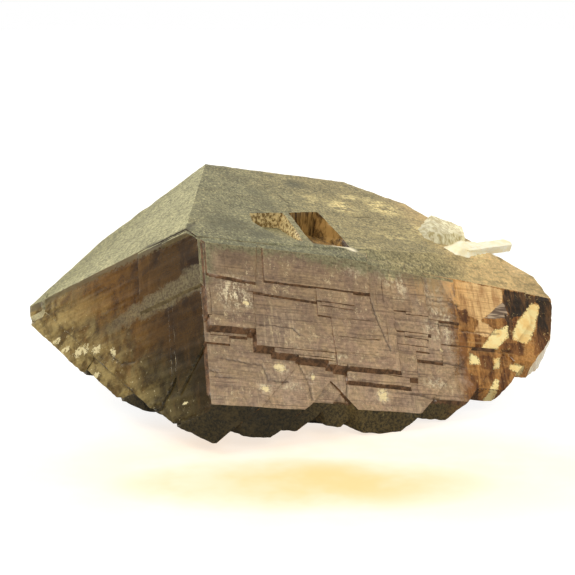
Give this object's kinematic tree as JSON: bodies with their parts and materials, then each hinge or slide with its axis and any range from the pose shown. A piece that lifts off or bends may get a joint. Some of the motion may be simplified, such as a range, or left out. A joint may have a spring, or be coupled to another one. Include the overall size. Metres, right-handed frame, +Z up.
{
  "type": "smoky quartz crystal",
  "caption": "Doubly terminated smoky quartz crystal of stacked, intergrown growth lying on its side, with flat faces, growth ledges, a pit and blunt crystal tips along its lower edge.",
  "frame": {"origin": "centre of the bounding box at the plane the crystal rests on", "axes": "+X along the crystal's length, towards its clear golden end; -Y towards the broad stepped prism face; +Z up"},
  "size_m": [0.0956, 0.0714, 0.0389],
  "materials": {
    "smoky_quartz": "clear brown quartz, satin with fine growth lines on the prism faces, frosted grey-green where chlorite covers it"
  },
  "bodies": {
    "root": {"smoky_quartz": "smoky_quartz"}
  },
  "joints": []
}
